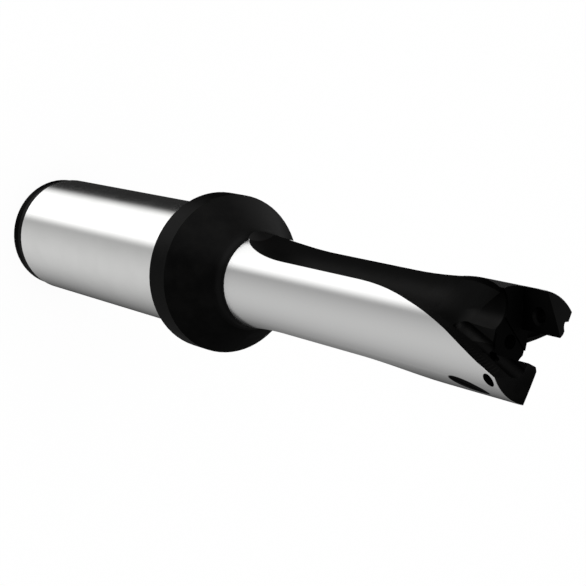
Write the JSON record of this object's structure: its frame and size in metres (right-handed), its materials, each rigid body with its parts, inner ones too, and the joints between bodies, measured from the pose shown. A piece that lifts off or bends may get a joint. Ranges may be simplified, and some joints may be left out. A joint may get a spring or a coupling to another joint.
{
  "type": "indexable insert drill body",
  "caption": "Cylindrical-shank drill body with a flange, chip flutes that twist towards the tip, and seats for screwed-on cutting inserts.",
  "frame": {"origin": "middle of the shank's rear face, on the drill's axis", "axes": "+Z along the drill's axis from the shank to the tip; X along the floors of the two insert seats"},
  "size_m": [0.025, 0.025, 0.1295],
  "materials": {
    "drill_body": "black oxide on the flange, neck, flutes and seats, with the shank and the outside of the fluted body ground bright"
  },
  "bodies": {
    "root": {"drill_body": "drill_body"}
  },
  "joints": []
}
